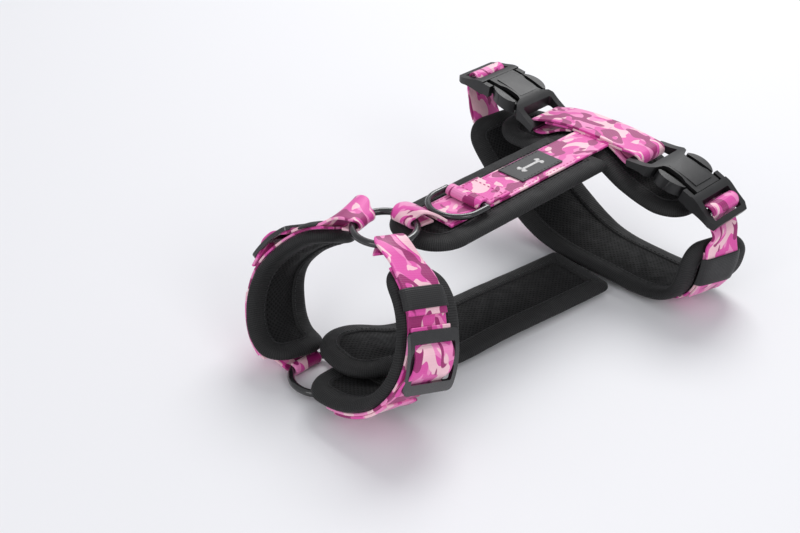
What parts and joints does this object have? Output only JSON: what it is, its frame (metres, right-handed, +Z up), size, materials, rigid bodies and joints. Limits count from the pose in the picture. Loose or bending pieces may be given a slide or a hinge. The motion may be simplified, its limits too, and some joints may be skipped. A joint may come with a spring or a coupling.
{
  "type": "no pull harness",
  "caption": "Padded dog harness with a neck loop, back and chest straps and a belly girth, with side-release buckles, strap adjusters and front and back leash rings.",
  "frame": {"origin": "on the underside of the chest webbing, on the surface the harness stands on, below the back strap's centreline", "axes": "+X forward along the back strap to the neck loop, +Y to the dog's left, +Z up"},
  "size_m": [0.266, 0.2062, 0.0911],
  "materials": {
    "padding": "black three-dimensional spacer mesh bound with smooth black stretch fabric",
    "webbing": "satin polyester webbing printed with a pink, magenta and cream camouflage pattern",
    "keeper": "black ribbed elastic",
    "label": "plain black woven label",
    "buckle_plastic": "black moulded acetal with a satin surface",
    "black_metal": "black coated metal, semi-gloss"
  },
  "bodies": {
    "harness": {"back_pad": "padding", "back_webbing": "webbing", "label": "label", "d_ring_strap": "webbing", "front_loop": "webbing", "top_loop_left": "webbing", "top_loop_right": "webbing", "neck_pad_left": "padding", "neck_pad_right": "padding", "neck_webbing_left": "webbing", "neck_webbing_right": "webbing", "neck_keeper_left": "keeper", "neck_keeper_right": "keeper", "chest_loop_left": "webbing", "chest_loop_right": "webbing", "chest_loop_rear": "webbing", "chest_pad": "padding", "chest_webbing": "webbing", "belly_pad": "padding", "belly_webbing": "webbing", "belly_keeper_left": "keeper", "belly_keeper_right": "keeper", "cross_pad": "padding", "cross_webbing": "webbing", "buckle_female_left": "buckle_plastic", "buckle_female_right": "buckle_plastic"},
    "leash_d_ring": {"d_ring": "black_metal"},
    "top_o_ring": {"top_ring": "black_metal"},
    "chest_o_ring": {"chest_ring": "black_metal"},
    "buckle_half_left": {"buckle_male_left": "buckle_plastic", "male_loop_left": "webbing"},
    "prong_left_front": {"buckle_prong_left_front": "buckle_plastic"},
    "prong_left_rear": {"buckle_prong_left_rear": "buckle_plastic"},
    "glide_left": {"tri_glide_left": "black_metal", "glide_loop_left": "webbing"},
    "buckle_half_right": {"buckle_male_right": "buckle_plastic", "male_loop_right": "webbing"},
    "prong_right_front": {"buckle_prong_right_front": "buckle_plastic"},
    "prong_right_rear": {"buckle_prong_right_rear": "buckle_plastic"},
    "glide_right": {"tri_glide_right": "black_metal", "glide_loop_right": "webbing"}
  },
  "joints": [
    {"name": "d_ring_swing", "type": "hinge", "parent": "harness", "child": "leash_d_ring", "pos_m": [-0.006, 0, 0.08285], "axis": [0, -1, 0], "range_deg": [0, 150]},
    {"name": "top_ring_spin", "type": "hinge", "parent": "harness", "child": "top_o_ring", "pos_m": [0.048, -0.008, 0.0829], "axis": [0, 0, 1], "continuous": true},
    {"name": "chest_ring_spin", "type": "hinge", "parent": "harness", "child": "chest_o_ring", "pos_m": [0.088, -0.016, 0.0037], "axis": [0, 0, 1], "continuous": true},
    {"name": "buckle_release_left", "type": "hinge", "parent": "harness", "child": "buckle_half_left", "pos_m": [-0.128, 0.03325, -0.02352], "axis": [-1, 0, 0], "range_deg": [0, 16]},
    {"name": "buckle_release_right", "type": "hinge", "parent": "harness", "child": "buckle_half_right", "pos_m": [-0.128, -0.09422, -0.0132], "axis": [1, 0, 0], "range_deg": [0, 16]},
    {"name": "prong_squeeze_left_front", "type": "hinge", "parent": "buckle_half_left", "child": "prong_left_front", "pos_m": [-0.1168, 0.07294, 0.06827], "axis": [0, -0.3987, -0.9171], "range_deg": [0, 4.5], "stiffness_Nm_per_rad": 0.05},
    {"name": "prong_squeeze_left_rear", "type": "hinge", "parent": "buckle_half_left", "child": "prong_left_rear", "pos_m": [-0.1392, 0.07294, 0.06827], "axis": [0, 0.3987, 0.9171], "range_deg": [0, 4.5], "stiffness_Nm_per_rad": 0.05},
    {"name": "prong_squeeze_right_front", "type": "hinge", "parent": "buckle_half_right", "child": "prong_right_front", "pos_m": [-0.1168, -0.08426, 0.0863], "axis": [0, 0.0976, 0.9952], "range_deg": [0, 4.5], "stiffness_Nm_per_rad": 0.05},
    {"name": "prong_squeeze_right_rear", "type": "hinge", "parent": "buckle_half_right", "child": "prong_right_rear", "pos_m": [-0.1392, -0.08426, 0.0863], "axis": [0, -0.0976, -0.9952], "range_deg": [0, 4.5], "stiffness_Nm_per_rad": 0.05},
    {"name": "glide_adjust_left", "type": "hinge", "parent": "harness", "child": "glide_left", "pos_m": [0.07348, 0.01477, 0.03667], "axis": [-0.947, 0.1514, -0.2834], "range_deg": [-5, 5]},
    {"name": "glide_adjust_right", "type": "hinge", "parent": "harness", "child": "glide_right", "pos_m": [0.07767, -0.01517, 0.02424], "axis": [0.9367, 0.0812, 0.3406], "range_deg": [-3, 4]}
  ]
}
